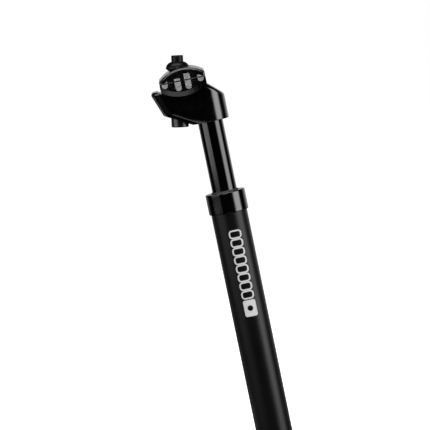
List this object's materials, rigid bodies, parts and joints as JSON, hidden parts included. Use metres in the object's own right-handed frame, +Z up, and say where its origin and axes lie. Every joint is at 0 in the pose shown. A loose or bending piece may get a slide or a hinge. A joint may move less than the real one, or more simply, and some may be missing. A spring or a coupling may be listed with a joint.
{
  "type": "suspension seatpost",
  "caption": "Telescopic bicycle seatpost with a coil spring inside, a screwed collar and a set-back head whose saddle rail clamp is held by one bolt from below.",
  "frame": {"origin": "on the post's axis, at the lower end of the outer tube", "axes": "+Z up the post's axis towards the saddle, +X to the front of the bicycle, Y across it"},
  "size_m": [0.054, 0.057, 0.3699],
  "materials": {
    "post_anodised": "satin black anodised",
    "gloss_black": "gloss black",
    "forged_black": "gloss black over a forged surface",
    "clamp_black": "gloss black over a forged surface",
    "shaft_black": "polished steel, hard black coating",
    "bolt_black": "black-zinc steel",
    "nut_black": "black-oxide steel",
    "spring_steel": "oiled spring steel",
    "plain_steel": "ground steel",
    "seal_rubber": "matte rubber",
    "bump_rubber": "cast polyurethane",
    "bushing_plastic": "acetal",
    "seat_plastic": "moulded nylon",
    "plug_aluminium": "machined"
  },
  "bodies": {
    "outer_post": {"outer_tube": "post_anodised", "upper_bushing": "bushing_plastic", "anti_rotation_keys": "plain_steel"},
    "collar_carrier": {"wiper_seal": "seal_rubber"},
    "collar": {"collar_nut": "gloss_black"},
    "preload_carrier": {"lower_spring_seat": "seat_plastic", "bump_rubber": "bump_rubber", "main_spring": "spring_steel"},
    "preload_screw": {"preload_plug": "plug_aluminium"},
    "inner_post": {"inner_tube": "shaft_black", "bumper_washer": "plain_steel", "top_out_bumper": "seal_rubber", "lower_bushing": "bushing_plastic", "retaining_ring": "spring_steel", "inner_tube_plug": "plug_aluminium", "upper_spring_seat": "seat_plastic", "head": "forged_black", "bolt_washer": "bolt_black"},
    "saddle_clamp": {"lower_clamp": "clamp_black"},
    "upper_clamp": {"upper_clamp": "clamp_black"},
    "clamp_bolt": {"clamp_bolt": "bolt_black"},
    "saddle_nut": {"saddle_nut": "nut_black"}
  },
  "joints": [
    {"name": "suspension", "type": "slide", "parent": "outer_post", "child": "inner_post", "axis": [0, 0, -1], "range_m": [0, 0.04], "stiffness_N_per_m": 12000, "springref_m": -0.004, "deforming": ["main_spring"]},
    {"name": "collar_lift", "type": "slide", "parent": "outer_post", "child": "collar_carrier", "axis": [0, 0, 1], "range_m": [0, 0.004]},
    {"name": "collar_turn", "type": "hinge", "parent": "collar_carrier", "child": "collar", "pos_m": [0, 0, 0.255], "axis": [0, 0, 1], "range_deg": [0, 1440]},
    {"name": "preload_lift", "type": "slide", "parent": "outer_post", "child": "preload_carrier", "axis": [0, 0, 1], "range_m": [0, 0.0075]},
    {"name": "preload_turn", "type": "hinge", "parent": "preload_carrier", "child": "preload_screw", "pos_m": [0, 0, 0.006], "axis": [0, 0, 1], "range_deg": [0, 1800]},
    {"name": "clamp_tilt", "type": "hinge", "parent": "inner_post", "child": "saddle_clamp", "pos_m": [-0.0145, 0, 0.3682], "axis": [0, 1, 0], "range_deg": [-5, 17]},
    {"name": "nut_lift", "type": "slide", "parent": "inner_post", "child": "saddle_nut", "axis": [0.1582, 0, 0.9874], "range_m": [0, 0.005]},
    {"name": "bolt_turn", "type": "hinge", "parent": "inner_post", "child": "clamp_bolt", "pos_m": [-0.0145, 0, 0.3682], "axis": [0.1582, 0, 0.9874], "range_deg": [0, 1440]},
    {"name": "upper_clamp_lift", "type": "slide", "parent": "saddle_clamp", "child": "upper_clamp", "axis": [0, 0, 1], "range_m": [0, 0.0032]}
  ],
  "couplings": [
    {"joint": "collar_turn", "follows": "collar_lift", "rad_per_m": 6283.2},
    {"joint": "preload_turn", "follows": "preload_lift", "rad_per_m": 4188.8},
    {"joint": "bolt_turn", "follows": "nut_lift", "rad_per_m": 5026.5},
    {"joint": "upper_clamp_lift", "follows": "nut_lift", "ratio": 0.64}
  ]
}
